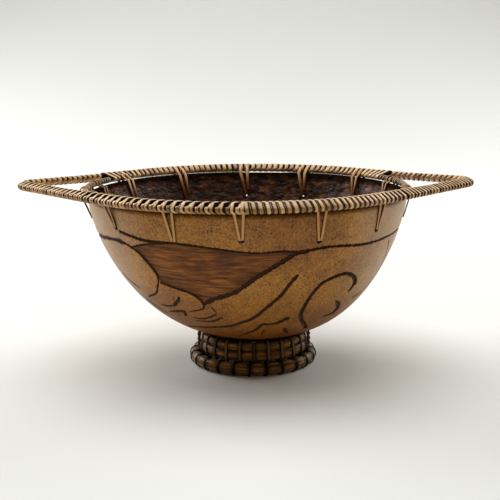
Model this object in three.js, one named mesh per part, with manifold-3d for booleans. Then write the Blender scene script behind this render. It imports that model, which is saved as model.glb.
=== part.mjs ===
// Carved coconut-shell bowl with a cane-bound rim, two loop handles and a stitched cane foot.
// Millimetres, +Z up. The origin is on the floor below the centre of the rim, the handles lie
// along X and the front faces -Y. Angles round the bowl are degrees from the front towards +X.

import * as THREE from "three";
import { mergeVertices } from "three/addons/utils/BufferGeometryUtils.js";
import Module from "manifold-3d";

// Shell: half a coconut, sawn level at the rim
const RIM_RADIUS = 64;
const SHELL_DEPTH = 59;
const SHELL_WALL = 3.6;
const SHELL_SHOULDER = 1.46; // profile exponent: higher keeps the upper wall steep for longer
const SHELL_BELLY = 2.6; // profile exponent: higher makes the bottom broader
const SHELL_LEAN = 2.1; // the nut grew askew, so its bottom lies this far towards +X

// Canes round the rim: one ring on the shell edge and a pair that runs out into the handles
const RIM_CANE = 1.7;
const HANDLE_CANE = 1.7;
const RING_OVERHANG = 0.5; // of the ring's centre beyond the shell's outer edge
const NEST_ANGLE = 63; // slope from the ring up to the inner handle cane
const PAIR_TILT = 28; // slope from the inner handle cane down to the outer one
const HANDLE_REACH = 91.2; // from the bowl's axis to the middle of the pair at a handle's tip
const HANDLE_TIP_RADIUS = 7.7; // of the middle of the pair

// Split-rattan binding wound round the canes
const BINDING_WIDTH = 2.6;
const BINDING_THICKNESS = 0.45;
const BINDING_PITCH = 7.8;
const FORK_ANGLE = 59.5; // from the front or back, where the handles' pair parts from the ring
const FORK_GAP = 3; // angle left free on the fork between one winding's end and the next one's start

// Lashings that hold the canes down through holes in the shell, at their hand-drilled places
const LASHING_ANGLES = [-2, 24, 51, 80, 106, 128, 155, 181, 209, 236, 259, 277, 307, 336];
const LASHING_WIDTH = 0.9;
const LASHING_THICKNESS = 0.45;
const LASHING_SPREAD = 1.9; // half the width of its V where it crosses the canes
const HOLE_DROP = 10.8; // of the holes below the shell's rim
const STRAND_GAP = 0.5; // between its two strands in the hole
const TUCKED_END = 1.6; // length of its first end, bent down inside the bowl
const LAST_END = 3; // height above the hole at which its second end stops

// Foot: a base ring and two hoops of darker cane
const FOOT_HOOP_RADIUS = 20;
const FOOT_FLARE = 3.2; // of the base ring beyond the hoops
const FOOT_BASE_CANE = 4.3;
const FOOT_LOWER_CANE = 3.3;
const FOOT_UPPER_CANE = 3;
const FOOT_OPENING = 1.7; // dark slot between the base ring and the lower hoop
const STITCH_COUNT = 24;
const STITCH_WIDTH = 1.3;
const STITCH_THICKNESS = 0.45;
const STITCH_FLAT = 1.5; // length of its straight run under the base ring
const STITCH_WEAR = 0.15; // worn off its underside, so that the foot stands on flats

// Ties that hold the foot up through holes in the shell, each between two stitches
const TIE_SLOTS = [5, 6, 17, 18];
const TIE_WIDTH = 1.3;
const TIE_THICKNESS = 0.45;

// Clearances
const SEAT_GAP = 0.3; // between pieces that rest on each other
const STRIP_FIT = 0.25; // between a strip and what it is wound round

// Faceting
const SHELL_SIDES = 48;
const SHELL_STEPS = 12;
const CANE_SIDES = 6;
const RING_STEPS = 60;
const FOOT_SIDES = 8;
const FOOT_STEPS = 36;
const ARC_DIVISIONS = 8;
const HOLE_SIDES = 8;
const CURL_STEPS = 8;
const LASHING_TURN = 36; // degrees turned between two points where a lashing rounds the canes
const SAME_POINT = 0.001; // points nearer than this are one

const rad = THREE.MathUtils.degToRad;
const wasm = await Module();
wasm.setup();

const material = (color, roughness) =>
  new THREE.MeshStandardMaterial({ color, roughness, metalness: 0 });
const shellMaterial = material(0xa47a48, 0.6);
const caneMaterial = material(0xb28a58, 0.6);
const rattanMaterial = material(0xc9a26c, 0.55);
const footMaterial = material(0x6b4526, 0.5);
const stitchMaterial = material(0x8a5f36, 0.5);

const model = new THREE.Group();
model.name = "coconut_shell_bowl";

function addPiece(name, geometry, pieceMaterial, position = new THREE.Vector3()) {
  const mesh = new THREE.Mesh(geometry, pieceMaterial);
  mesh.name = name;
  mesh.position.copy(position);
  model.add(mesh);
}

// Outward direction, and direction of growing angle, at an angle round the bowl
const outward = (angle) => new THREE.Vector3(Math.sin(angle), -Math.cos(angle), 0);
const along = (angle) => new THREE.Vector3(Math.cos(angle), Math.sin(angle), 0);

// Point at a radius and height, moved sideways along the rim
function place(angle, radius, height, sideways = 0) {
  const point = outward(angle).multiplyScalar(radius);
  point.addScaledVector(along(angle), sideways);
  point.z = height;
  return point;
}

// Shell profile: radius at a drop below the rim and the reverse; inset 0 is the outside
function profileRadius(drop, inset) {
  const share = drop / (SHELL_DEPTH - inset);
  return (RIM_RADIUS - inset) * (1 - share ** SHELL_SHOULDER) ** (1 / SHELL_BELLY);
}

function profileDrop(radius, inset) {
  const share = radius / (RIM_RADIUS - inset);
  return (SHELL_DEPTH - inset) * (1 - share ** SHELL_BELLY) ** (1 / SHELL_SHOULDER);
}

const leanAt = (drop) => SHELL_LEAN * (drop / SHELL_DEPTH) ** 2;

// Flat strip's section: width along x, thickness along y
function stripSection(width, thickness) {
  const x = width / 2;
  const y = thickness / 2;
  return [[-x, -y], [x, -y], [x, y], [-x, y]].map(([a, b]) => new THREE.Vector2(a, b));
}

// Closed body swept through points; it bends along across[i] at point i, and its section keeps its
// width where the path runs aslant to that bend
function sweep(points, across, section, closed) {
  const count = points.length;
  const sides = section.length;
  const neighbour = (i) => (closed ? (i + count) % count : THREE.MathUtils.clamp(i, 0, count - 1));
  const positions = [];
  points.forEach((point, i) => {
    const forward = points[neighbour(i + 1)].clone().sub(points[neighbour(i - 1)]).normalize();
    const face = forward.clone().cross(across[i]);
    const width = across[i].clone().divideScalar(face.length());
    face.normalize();
    for (const corner of section) {
      const vertex = point.clone().addScaledVector(width, corner.x).addScaledVector(face, corner.y);
      positions.push(...vertex);
    }
  });
  const index = [];
  const spans = closed ? count : count - 1;
  for (let i = 0; i < spans; i++) {
    for (let k = 0; k < sides; k++) {
      const a = i * sides + k;
      const b = i * sides + ((k + 1) % sides);
      const c = ((i + 1) % count) * sides + ((k + 1) % sides);
      const d = ((i + 1) % count) * sides + k;
      index.push(a, b, c, a, c, d);
    }
  }
  if (!closed) {
    const last = (count - 1) * sides;
    for (let k = 1; k < sides - 1; k++) {
      index.push(0, k + 1, k, last, last + k, last + k + 1);
    }
  }
  const geometry = new THREE.BufferGeometry();
  geometry.setAttribute("position", new THREE.Float32BufferAttribute(positions, 3));
  geometry.setIndex(index);
  return geometry;
}

// Prints how near a wound strip comes to itself, measured between its section corners that lie
// more than two widths apart along the strip
function printLeastGap(name, geometry, points, corners, width) {
  const position = geometry.getAttribute("position");
  const run = [0];
  points.forEach((point, i) => {
    if (i > 0) {
      run.push(run[i - 1] + point.distanceTo(points[i - 1]));
    }
  });
  const a = new THREE.Vector3();
  const b = new THREE.Vector3();
  let least = Infinity;
  for (let i = 0; i < position.count; i++) {
    a.fromBufferAttribute(position, i);
    for (let j = i + 1; j < position.count; j++) {
      if (run[Math.floor(j / corners)] - run[Math.floor(i / corners)] > 2 * width) {
        least = Math.min(least, a.distanceTo(b.fromBufferAttribute(position, j)));
      }
    }
  }
  console.log(`${name}: least gap to itself ${least.toFixed(2)} mm`);
}

// Section across a bundle of canes, as circles in a plane of radius (x) and height (y)
const circle = (centre, radius) => ({ centre, radius });
const compass = (angle) => new THREE.Vector2(Math.cos(angle), Math.sin(angle));

// Point where a taut band round the circles faces the given way
function bandPoint(circles, angle) {
  const way = compass(angle);
  const reach = (c) => c.centre.dot(way) + c.radius;
  const outer = circles.reduce((best, c) => (reach(c) > reach(best) ? c : best));
  return outer.centre.clone().addScaledVector(way, outer.radius);
}

// Way that the band faces where a straight run from a point outside it starts round the circles;
// turn is 1 for a run up their outer side and -1 for one up their inner side
function bandStart(circles, point, turn) {
  const ways = circles.map((c) => {
    const from = point.clone().sub(c.centre);
    return Math.atan2(from.y, from.x) + turn * Math.acos(c.radius / from.length());
  });
  const slack = (way) =>
    bandPoint(circles, way).dot(compass(way)) - point.dot(compass(way));
  return ways.reduce((best, way) => (slack(way) < slack(best) ? way : best));
}

// Heights, from the floor up
const stitchOut = STRIP_FIT + STITCH_THICKNESS;
const baseHeight = stitchOut - STITCH_WEAR + FOOT_BASE_CANE / 2;
const lowerHeight = baseHeight + FOOT_BASE_CANE / 2 + FOOT_OPENING + FOOT_LOWER_CANE / 2;
const upperHeight = lowerHeight + FOOT_LOWER_CANE / 2 + SEAT_GAP + FOOT_UPPER_CANE / 2;
const seatHeight = upperHeight + FOOT_UPPER_CANE / 2 + stitchOut + SEAT_GAP;
const seatDrop = profileDrop(FOOT_HOOP_RADIUS, 0);
const rimHeight = seatHeight + seatDrop;
const footCentre = new THREE.Vector3(leanAt(seatDrop), 0, 0);

// Cane centres at the front, as radius and height
const bindingOut = STRIP_FIT + BINDING_THICKNESS;
const ringCentre = new THREE.Vector2(
  RIM_RADIUS + RING_OVERHANG,
  rimHeight + SEAT_GAP + bindingOut + RIM_CANE / 2,
);
const nestStep = compass(rad(NEST_ANGLE)).multiplyScalar((RIM_CANE + HANDLE_CANE) / 2 + SEAT_GAP);
const pairStep = compass(rad(-PAIR_TILT)).multiplyScalar(HANDLE_CANE + SEAT_GAP);
const innerCentre = ringCentre.clone().add(nestStep);
const outerCentre = innerCentre.clone().add(pairStep);

// Plan of the handles' pair: arcs round the rim, straight arms and a tip arc at each end
const pairRadius = (innerCentre.x + outerCentre.x) / 2;
const tipCentre = HANDLE_REACH - HANDLE_TIP_RADIUS;
const armAngle = Math.acos((pairRadius - HANDLE_TIP_RADIUS) / tipCentre);

function pairPlan(offset) {
  const arc = pairRadius + offset;
  const tip = HANDLE_TIP_RADIUS + offset;
  const plan = new THREE.Path();
  plan.absarc(tipCentre, 0, tip, -armAngle, armAngle, false);
  plan.absarc(0, 0, arc, armAngle, Math.PI - armAngle, false);
  plan.absarc(-tipCentre, 0, tip, Math.PI - armAngle, Math.PI + armAngle, false);
  plan.absarc(0, 0, arc, Math.PI + armAngle, 2 * Math.PI - armAngle, false);
  return plan.closePath();
}

// How far an angle round the bowl lies past the arcs, along a handle's straight arm
function pastArc(angle) {
  const fromMiddle = Math.abs(Math.PI / 2 - (Math.abs(angle) % Math.PI));
  return Math.max(0, armAngle - fromMiddle);
}

// Bundle of canes at an angle from the front, with bands of a half width lying a distance out from
// each cane; on the arms the canes slope away under the band's width
function bundleAt(angle, out, halfWidth) {
  const past = pastArc(angle);
  const circles = [circle(ringCentre, RIM_CANE / 2 + out)];
  if (past < rad(FORK_ANGLE) - (Math.PI / 2 - armAngle)) {
    for (const cane of [innerCentre, outerCentre]) {
      const centre = new THREE.Vector2(cane.x / Math.cos(past), cane.y);
      circles.push(circle(centre, HANDLE_CANE / 2 + out + halfWidth * Math.tan(past)));
    }
  }
  return circles;
}

// Coconut shell, turned and leaned, with its holes drilled
function shellWall() {
  const side = (inset) =>
    Array.from({ length: SHELL_STEPS + 1 }, (_, i) => {
      const turn = (i / SHELL_STEPS) * (Math.PI / 2);
      const radius = (RIM_RADIUS - inset) * Math.sin(turn) ** (2 / SHELL_BELLY);
      const drop = (SHELL_DEPTH - inset) * Math.cos(turn) ** (2 / SHELL_SHOULDER);
      return new THREE.Vector2(i === 0 ? 0 : radius, rimHeight - (i === SHELL_STEPS ? 0 : drop));
    });
  const profile = [...side(0), ...side(SHELL_WALL).reverse()];
  const geometry = new THREE.LatheGeometry(profile, SHELL_SIDES).rotateX(Math.PI / 2);
  const position = geometry.getAttribute("position");
  for (let i = 0; i < position.count; i++) {
    position.setX(i, position.getX(i) + leanAt(rimHeight - position.getZ(i)));
  }
  return geometry;
}

function solid(geometry) {
  const bare = new THREE.BufferGeometry();
  bare.setAttribute("position", geometry.getAttribute("position"));
  bare.setIndex(geometry.getIndex());
  const merged = mergeVertices(bare, SAME_POINT);
  const corners = merged.getIndex().array;
  const kept = [];
  for (let i = 0; i < corners.length; i += 3) {
    const [a, b, c] = corners.slice(i, i + 3);
    if (a !== b && b !== c && c !== a) {
      kept.push(a, b, c);
    }
  }
  return new wasm.Manifold(
    new wasm.Mesh({
      numProp: 3,
      vertProperties: new Float32Array(merged.getAttribute("position").array),
      triVerts: new Uint32Array(kept),
    }),
  );
}

function geometryOf(body) {
  const mesh = body.getMesh();
  const geometry = new THREE.BufferGeometry();
  geometry.setAttribute("position", new THREE.BufferAttribute(mesh.vertProperties, 3));
  geometry.setIndex(new THREE.BufferAttribute(mesh.triVerts, 1));
  return geometry;
}

// Lashing: from inside the bowl out through the hole, up and over the canes, down inside, out
// through the hole once more and over again, so that it shows a V on both sides of the shell
const holeHeight = rimHeight - HOLE_DROP;
const strandPass = (LASHING_WIDTH + STRAND_GAP) / 2;
const lashingOut = STRIP_FIT + LASHING_THICKNESS / 2;
const holeRadius = Math.hypot(strandPass + LASHING_WIDTH / 2, LASHING_THICKNESS / 2) + STRIP_FIT;

// Radius at which a strand lies on the shell's inner facets, at a drop below the rim
const facetDip = Math.cos(Math.PI / SHELL_SIDES);
const onInside = (drop) => profileRadius(drop, SHELL_WALL) * facetDip - lashingOut;

function lashing(angle) {
  const inside = onInside(HOLE_DROP);
  const outside = profileRadius(HOLE_DROP, 0) + lashingOut;
  const edge = new THREE.Vector2(
    (RIM_RADIUS - SHELL_WALL) * facetDip - lashingOut * Math.SQRT1_2,
    rimHeight + lashingOut * Math.SQRT1_2,
  );
  const halfSpan = (LASHING_SPREAD + (LASHING_WIDTH + BINDING_WIDTH) / 2) / pairRadius;
  const circles = [-halfSpan, halfSpan].flatMap((shift) =>
    bundleAt(angle + shift, bindingOut + lashingOut, BINDING_WIDTH / 2),
  );
  const start = bandStart(circles, new THREE.Vector2(outside, holeHeight), 1);
  const end = bandStart(circles, edge, -1) + 2 * Math.PI;
  const turned = THREE.MathUtils.euclideanModulo(end - start, 2 * Math.PI);
  const steps = Math.ceil(turned / rad(LASHING_TURN));
  const tucked = onInside(HOLE_DROP + TUCKED_END);
  const points = [place(angle, tucked, holeHeight - TUCKED_END, strandPass)];
  for (const side of [1, -1]) {
    points.push(place(angle, inside, holeHeight, side * strandPass));
    points.push(place(angle, outside, holeHeight, side * strandPass));
    for (let i = 0; i <= steps; i++) {
      const band = bandPoint(circles, start + (turned * i) / steps);
      points.push(place(angle, band.x, band.y, side * LASHING_SPREAD));
    }
    points.push(place(angle, edge.x, edge.y, side * LASHING_SPREAD));
  }
  const lastInside = onInside(HOLE_DROP - LAST_END) - lashingOut;
  const besideHole = -(strandPass + LASHING_WIDTH);
  points.push(place(angle, lastInside, holeHeight + LAST_END, besideHole));
  const across = points.map(() => along(angle).negate());
  return { points, across };
}

// Binding: one strip wound round the bundle, given as a function of the share of its length
function binding(name, section, length) {
  const turns = Math.round(length / BINDING_PITCH);
  const points = [];
  const across = [];
  for (let i = 0; i <= turns * CURL_STEPS; i++) {
    const { origin, outwards, circles } = section(i / (turns * CURL_STEPS));
    const band = bandPoint(circles, (i / CURL_STEPS) * 2 * Math.PI);
    const point = origin.clone().addScaledVector(outwards, band.x);
    point.z = band.y;
    points.push(point);
    across.push(outwards.clone().cross(new THREE.Vector3(0, 0, 1)));
  }
  const strip = stripSection(BINDING_WIDTH, BINDING_THICKNESS);
  const geometry = sweep(points, across, strip, false);
  printLeastGap(name, geometry, points, strip.length, BINDING_WIDTH);
  addPiece(name, geometry, rattanMaterial);
}

const bindingMiddle = STRIP_FIT + BINDING_THICKNESS / 2;
const bandReach = rad(FORK_ANGLE - FORK_GAP / 2);

// Winding over all the canes, round the front or the back
function rimBinding(name, middle) {
  const section = (share) => {
    const angle = middle + bandReach * (1 - 2 * share);
    const circles = bundleAt(angle, bindingMiddle, BINDING_WIDTH / 2);
    return { origin: new THREE.Vector3(), outwards: outward(angle), circles };
  };
  binding(name, section, 2 * bandReach * pairRadius);
}

// Winding over the ring alone, between the arms of a handle
function endBinding(name, middle) {
  const reach = Math.PI / 2 - bandReach - rad(FORK_GAP);
  const circles = [circle(ringCentre, RIM_CANE / 2 + bindingMiddle)];
  const section = (share) => {
    const angle = middle + reach * (1 - 2 * share);
    return { origin: new THREE.Vector3(), outwards: outward(angle), circles };
  };
  binding(name, section, 2 * reach * ringCentre.x);
}

// Winding over the handle's pair, out along one arm, round the tip and back along the other
function handleBinding(name, side) {
  const forkAngle = rad(FORK_ANGLE + FORK_GAP / 2);
  const armLength = tipCentre * Math.sin(armAngle);
  const bound = pairRadius * Math.tan(forkAngle - (Math.PI / 2 - armAngle));
  const straight = armLength - bound;
  const bend = 2 * armAngle * HANDLE_TIP_RADIUS;
  const length = 2 * straight + bend;
  const circles = [innerCentre, outerCentre].map((cane) =>
    circle(new THREE.Vector2(cane.x - pairRadius, cane.y), HANDLE_CANE / 2 + bindingMiddle),
  );
  const section = (share) => {
    const run = share * length;
    const sign = run < length / 2 ? 1 : -1;
    const fromTip = Math.abs(length / 2 - run);
    const turn = Math.min(fromTip / HANDLE_TIP_RADIUS, armAngle) * sign;
    const outwards = new THREE.Vector3(side * Math.cos(turn), side * Math.sin(turn), 0);
    const tangent = new THREE.Vector3(-Math.sin(turn), Math.cos(turn), 0).multiplyScalar(side * sign);
    const origin = new THREE.Vector3(side * tipCentre, 0, 0);
    origin.addScaledVector(outwards, HANDLE_TIP_RADIUS);
    origin.addScaledVector(tangent, Math.max(0, fromTip - bend / 2));
    return { origin, outwards, circles };
  };
  binding(name, section, length);
}

// Cane hoop swept round the handles' plan
function handleCane(cane) {
  const plan = pairPlan(cane.x - pairRadius).getPoints(ARC_DIVISIONS);
  const points = plan.map((p) => new THREE.Vector3(p.x, p.y, cane.y));
  const loop = points.filter((p, i) => i === 0 || p.distanceTo(points[i - 1]) > SAME_POINT);
  if (loop[0].distanceTo(loop[loop.length - 1]) < SAME_POINT) {
    loop.pop();
  }
  const section = Array.from({ length: CANE_SIDES }, (_, k) =>
    compass((k / CANE_SIDES) * 2 * Math.PI).multiplyScalar(HANDLE_CANE / 2),
  );
  return sweep(loop, loop.map(() => new THREE.Vector3(0, 0, 1)), section, true);
}

// Foot stitching: one strip wound round all three foot canes, stepping on under the base ring
const stitchMiddle = STRIP_FIT + STITCH_THICKNESS / 2;
const footCircles = [
  circle(new THREE.Vector2(FOOT_HOOP_RADIUS + FOOT_FLARE, baseHeight), FOOT_BASE_CANE / 2),
  circle(new THREE.Vector2(FOOT_HOOP_RADIUS, lowerHeight), FOOT_LOWER_CANE / 2),
  circle(new THREE.Vector2(FOOT_HOOP_RADIUS, upperHeight), FOOT_UPPER_CANE / 2),
];
const stitchAngle = (slot) => (slot / STITCH_COUNT) * 2 * Math.PI;

function footStitching() {
  const [base, lower, upper] = footCircles;
  const lay = (c, facing, step, shift = 0) => {
    const at = c.centre.clone().addScaledVector(compass(rad(facing)), c.radius + stitchMiddle);
    return { radius: at.x + shift, height: at.y, step };
  };
  const stitch = [
    lay(base, 230, 0),
    lay(lower, 190, 0),
    lay(upper, 165, 0),
    lay(upper, 115, 0),
    lay(upper, 65, 0),
    lay(upper, 15, 0),
    lay(lower, 0, 0),
    lay(base, 70, 0),
    lay(base, 20, 0),
    lay(base, -35, 0.1),
    lay(base, -90, 0.35, STITCH_FLAT / 2),
    lay(base, -90, 0.65, -STITCH_FLAT / 2),
  ];
  const points = [];
  const across = [];
  for (let slot = 0; slot < STITCH_COUNT; slot++) {
    const last = slot === STITCH_COUNT - 1;
    for (const { radius, height, step } of last ? stitch.filter((s) => s.step === 0) : stitch) {
      const angle = stitchAngle(slot + step);
      points.push(place(angle, radius, height));
      across.push(along(angle));
    }
  }
  const strip = stripSection(STITCH_WIDTH, STITCH_THICKNESS);
  const wound = sweep(points, across, strip, false);
  printLeastGap("foot_stitching", wound, points, strip.length, STITCH_WIDTH);
  const floorSide = 4 * (FOOT_HOOP_RADIUS + FOOT_FLARE + FOOT_BASE_CANE);
  const worn = new THREE.BoxGeometry(floorSide, floorSide, FOOT_BASE_CANE);
  worn.translate(0, 0, -FOOT_BASE_CANE / 2);
  return geometryOf(solid(wound).subtract(solid(worn)));
}

// Foot tie: a ring of strip round both hoops and through the shell
const tieMiddle = STRIP_FIT + TIE_THICKNESS / 2;
const tieHalf = Math.max(FOOT_LOWER_CANE, FOOT_UPPER_CANE) / 2 + tieMiddle;
const tieHoleRadius = Math.hypot(TIE_WIDTH, TIE_THICKNESS) / 2 + STRIP_FIT;
const tieAngle = (slot) => stitchAngle(slot + 0.5);

function footTie(slot) {
  const angle = tieAngle(slot);
  const low = lowerHeight - FOOT_LOWER_CANE / 2 - tieMiddle;
  const inner = FOOT_HOOP_RADIUS - tieHalf;
  const outer = FOOT_HOOP_RADIUS + tieHalf;
  const topAt = (radius) => rimHeight - profileDrop(radius, SHELL_WALL) + tieMiddle + STRIP_FIT;
  const chamfer = tieMiddle;
  const points = [
    place(angle, inner + chamfer, low),
    place(angle, outer - chamfer, low),
    place(angle, outer, low + chamfer),
    place(angle, outer, topAt(outer) - chamfer),
    place(angle, outer - chamfer, topAt(outer - chamfer)),
    place(angle, inner + chamfer, topAt(inner + chamfer)),
    place(angle, inner, topAt(inner) - chamfer),
    place(angle, inner, low + chamfer),
  ];
  const across = points.map(() => along(angle).negate());
  return sweep(points, across, stripSection(TIE_WIDTH, TIE_THICKNESS), true);
}

// Shell
function drilledShell() {
  let shell = solid(shellWall());
  const drillLength = 4 * SHELL_WALL;
  for (const degrees of LASHING_ANGLES) {
    const angle = rad(degrees);
    const middle = (profileRadius(HOLE_DROP, 0) + profileRadius(HOLE_DROP, SHELL_WALL)) / 2;
    const drill = new THREE.CylinderGeometry(holeRadius, holeRadius, drillLength, HOLE_SIDES);
    drill.rotateZ(angle).translate(...place(angle, middle, holeHeight));
    shell = shell.subtract(solid(drill));
  }
  for (const slot of TIE_SLOTS) {
    for (const radius of [FOOT_HOOP_RADIUS - tieHalf, FOOT_HOOP_RADIUS + tieHalf]) {
      const middle = rimHeight - profileDrop(radius, SHELL_WALL / 2);
      const drill = new THREE.CylinderGeometry(
        tieHoleRadius, tieHoleRadius, drillLength, HOLE_SIDES);
      drill.rotateX(Math.PI / 2);
      drill.translate(...place(tieAngle(slot), radius, middle).add(footCentre));
      shell = shell.subtract(solid(drill));
    }
  }
  return geometryOf(shell);
}

addPiece("coconut_shell", drilledShell(), shellMaterial);

// Rim canes and their bindings
const ring = new THREE.TorusGeometry(ringCentre.x, RIM_CANE / 2, CANE_SIDES, RING_STEPS);
addPiece("rim_ring", ring, caneMaterial, new THREE.Vector3(0, 0, ringCentre.y));
addPiece("handle_inner_cane", handleCane(innerCentre), caneMaterial);
addPiece("handle_outer_cane", handleCane(outerCentre), caneMaterial);
rimBinding("front_binding", 0);
rimBinding("back_binding", Math.PI);
endBinding("right_rim_binding", Math.PI / 2);
endBinding("left_rim_binding", -Math.PI / 2);
handleBinding("right_handle_binding", 1);
handleBinding("left_handle_binding", -1);

// Rim lashings
LASHING_ANGLES.forEach((degrees, i) => {
  const { points, across } = lashing(rad(degrees));
  const strip = stripSection(LASHING_WIDTH, LASHING_THICKNESS);
  const name = `rim_lashing_${String(i + 1).padStart(2, "0")}`;
  const geometry = sweep(points, across, strip, false);
  printLeastGap(name, geometry, points, strip.length, LASHING_WIDTH);
  addPiece(name, geometry, rattanMaterial);
});

// Foot
const footNames = ["foot_base_ring", "foot_lower_hoop", "foot_upper_hoop"];
footCircles.forEach(({ centre, radius }, i) => {
  const hoop = new THREE.TorusGeometry(centre.x, radius, FOOT_SIDES, FOOT_STEPS);
  const position = footCentre.clone().add(new THREE.Vector3(0, 0, centre.y));
  addPiece(footNames[i], hoop, footMaterial, position);
});
addPiece("foot_stitching", footStitching(), stitchMaterial, footCentre);
TIE_SLOTS.forEach((slot, i) => addPiece(`foot_tie_${i + 1}`, footTie(slot), stitchMaterial, footCentre));

export default model;
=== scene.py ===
import math
import random

import bmesh
import bpy
import numpy as np
from mathutils import Matrix, Vector, kdtree, noise


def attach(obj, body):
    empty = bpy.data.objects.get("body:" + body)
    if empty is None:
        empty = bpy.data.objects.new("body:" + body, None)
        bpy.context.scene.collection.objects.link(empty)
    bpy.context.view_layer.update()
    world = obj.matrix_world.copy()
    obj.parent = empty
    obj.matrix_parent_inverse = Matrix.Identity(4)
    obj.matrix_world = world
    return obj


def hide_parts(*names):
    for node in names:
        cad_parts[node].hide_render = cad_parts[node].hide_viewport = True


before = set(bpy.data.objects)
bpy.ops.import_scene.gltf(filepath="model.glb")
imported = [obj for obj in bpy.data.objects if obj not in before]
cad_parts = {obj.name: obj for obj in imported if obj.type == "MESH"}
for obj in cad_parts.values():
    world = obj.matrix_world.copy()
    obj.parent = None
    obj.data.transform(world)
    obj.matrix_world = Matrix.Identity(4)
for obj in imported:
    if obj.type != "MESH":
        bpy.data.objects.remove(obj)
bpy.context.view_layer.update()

# Coconut shell
# Half of a large nut, sawn level and scraped thin. The polished outside skin is carved with cut lines
# and, on each side, one sunk ground; the cuts are stained. The inside is hacked out and nearly black.
# The rim canes are lashed to it through holes drilled below the edge, and the foot through its bottom.
mm = 0.001
rim_height = 71.17 * mm
rim_radius = 64.5 * mm
nut_depth = 59 * mm
nut_wall = 3.6 * mm
nut_shoulder = 1.46
nut_belly = 2.6
nut_shift, nut_lean = 0.6 * mm, 2.9 * mm
outline_samples = 4000


def nut_radius(drop, inset=0.0):
    """Radius at a drop below the rim, outside or of the same form smaller by an inset."""
    share = np.clip(drop / (nut_depth - inset), 0, 1)
    return (rim_radius - inset) * (1 - share**nut_shoulder) ** (1 / nut_belly)


def nut_middle(drop):
    """The nut grew a little aslant, so its middle moves to the right below the rim."""
    return nut_shift + nut_lean * (drop / nut_depth) ** 2


def nut_outline(inset, spacing):
    """Evenly spaced radii and drops from the rim down to the bottom."""
    turn = np.linspace(math.pi / 2, 0, outline_samples)
    radius = (rim_radius - inset) * np.sin(turn) ** (2 / nut_belly)
    drop = (nut_depth - inset) * np.abs(np.cos(turn)) ** (2 / nut_shoulder)
    run = np.concatenate([[0], np.cumsum(np.hypot(np.diff(radius), np.diff(drop)))])
    even = np.linspace(0, run[-1], round(run[-1] / spacing) + 1)
    return np.interp(even, run, radius), np.interp(even, run, drop)


def on_nut(angle, drop, cut=0.0):
    """Point on the outside at an angle from the front and a drop below the rim, cut in by a depth."""
    step = 0.02 * mm
    slope = (nut_radius(drop + step) - nut_radius(drop - step)) / (2 * step)
    steep = np.sqrt(1 + slope**2)
    radius = nut_radius(drop) - cut / steep
    height = rim_height - drop - cut * slope / steep
    return np.stack([radius * np.sin(angle) + nut_middle(drop),
                     -radius * np.cos(angle), height], -1)


# Cut lines: width at the start, middle and end and depth in mm, then (degrees, mm below the rim)
upper_line = (1.6, 1.15, 0.95, 0.5, [(-48.5, 9.5), (-43, 10.5), (-36, 11.5), (-25, 11.5), (-13, 12.5),
                                    (-2.5, 14), (4.5, 14.5), (11, 14), (17.5, 14.5), (28.5, 13.5),
                                    (42, 14.5), (50.5, 14.5), (59.5, 14), (75, 13.3), (80, 13.6)])
leaf_top = (1.9, 1.9, 1.0, 0.5, [(-100, 13.6), (-88, 14.7), (-77, 15), (-55.5, 13.5), (-48, 14), (-44, 15.5)])
leaf = (0.9, 0.85, 0.8, 0.5, [(-48, 14), (-44, 15.5), (-41, 18), (-38, 22.5), (-37, 26), (-39, 29.5),
                             (-44, 34), (-53, 37)])
ground_top = (0.6, 1.0, 1.3, 0.45, [(-44.5, 14.9), (-36, 12.9), (-29, 11.9)])
small_leaf = (0.7, 0.75, 0.7, 0.45, [(-37, 28.5), (-29, 30.5), (-25, 31.5), (-22, 33.5), (-20.5, 36),
                                     (-21.5, 38), (-24, 39), (-30, 40.5)])
ground_slope = (1.7, 1.5, 1.1, 0.5, [(-20, 36), (-14.5, 33.5), (-6, 30.5), (1, 25.5), (3, 24), (12, 18),
                                     (16, 15.5), (20, 14.7)])
stem = (1.2, 1.75, 1.7, 0.5, [(-45, 50), (-29, 48.5), (-13, 46.5), (-6, 44.5), (0.5, 42), (5, 38.5),
                              (9, 35), (12.5, 31.5), (15, 27.5), (17.5, 24)])
low_stem = (0.9, 1.75, 2.7, 0.5, [(-10, 52.5), (-4, 50.5), (1, 48.5), (5, 45.5), (8.5, 45.5), (12.5, 45),
                                 (17, 43)])
scroll = (2.9, 1.75, 1.9, 0.6, [(48, 31.5), (47, 29.5), (43.5, 27), (38, 25.5), (30, 27.5), (27, 30.5),
                               (25, 34), (24, 38), (24, 42), (27, 45.5), (34, 50)])
scroll_tip = (0.5, 1.7, 2.9, 0.5, [(46.5, 34.5), (47.4, 33), (48, 31.5)])
scroll_eye = (0.7, 2.3, 0.6, 0.5, [(41, 37.5), (44.8, 39.8), (46.8, 42.2), (46.2, 44), (40, 44.7)])
right_line = (0.5, 0.6, 1.2, 0.35, [(62.5, 15.5), (67, 22), (69, 28), (67, 33.5), (61, 37), (55, 38.5)])
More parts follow.
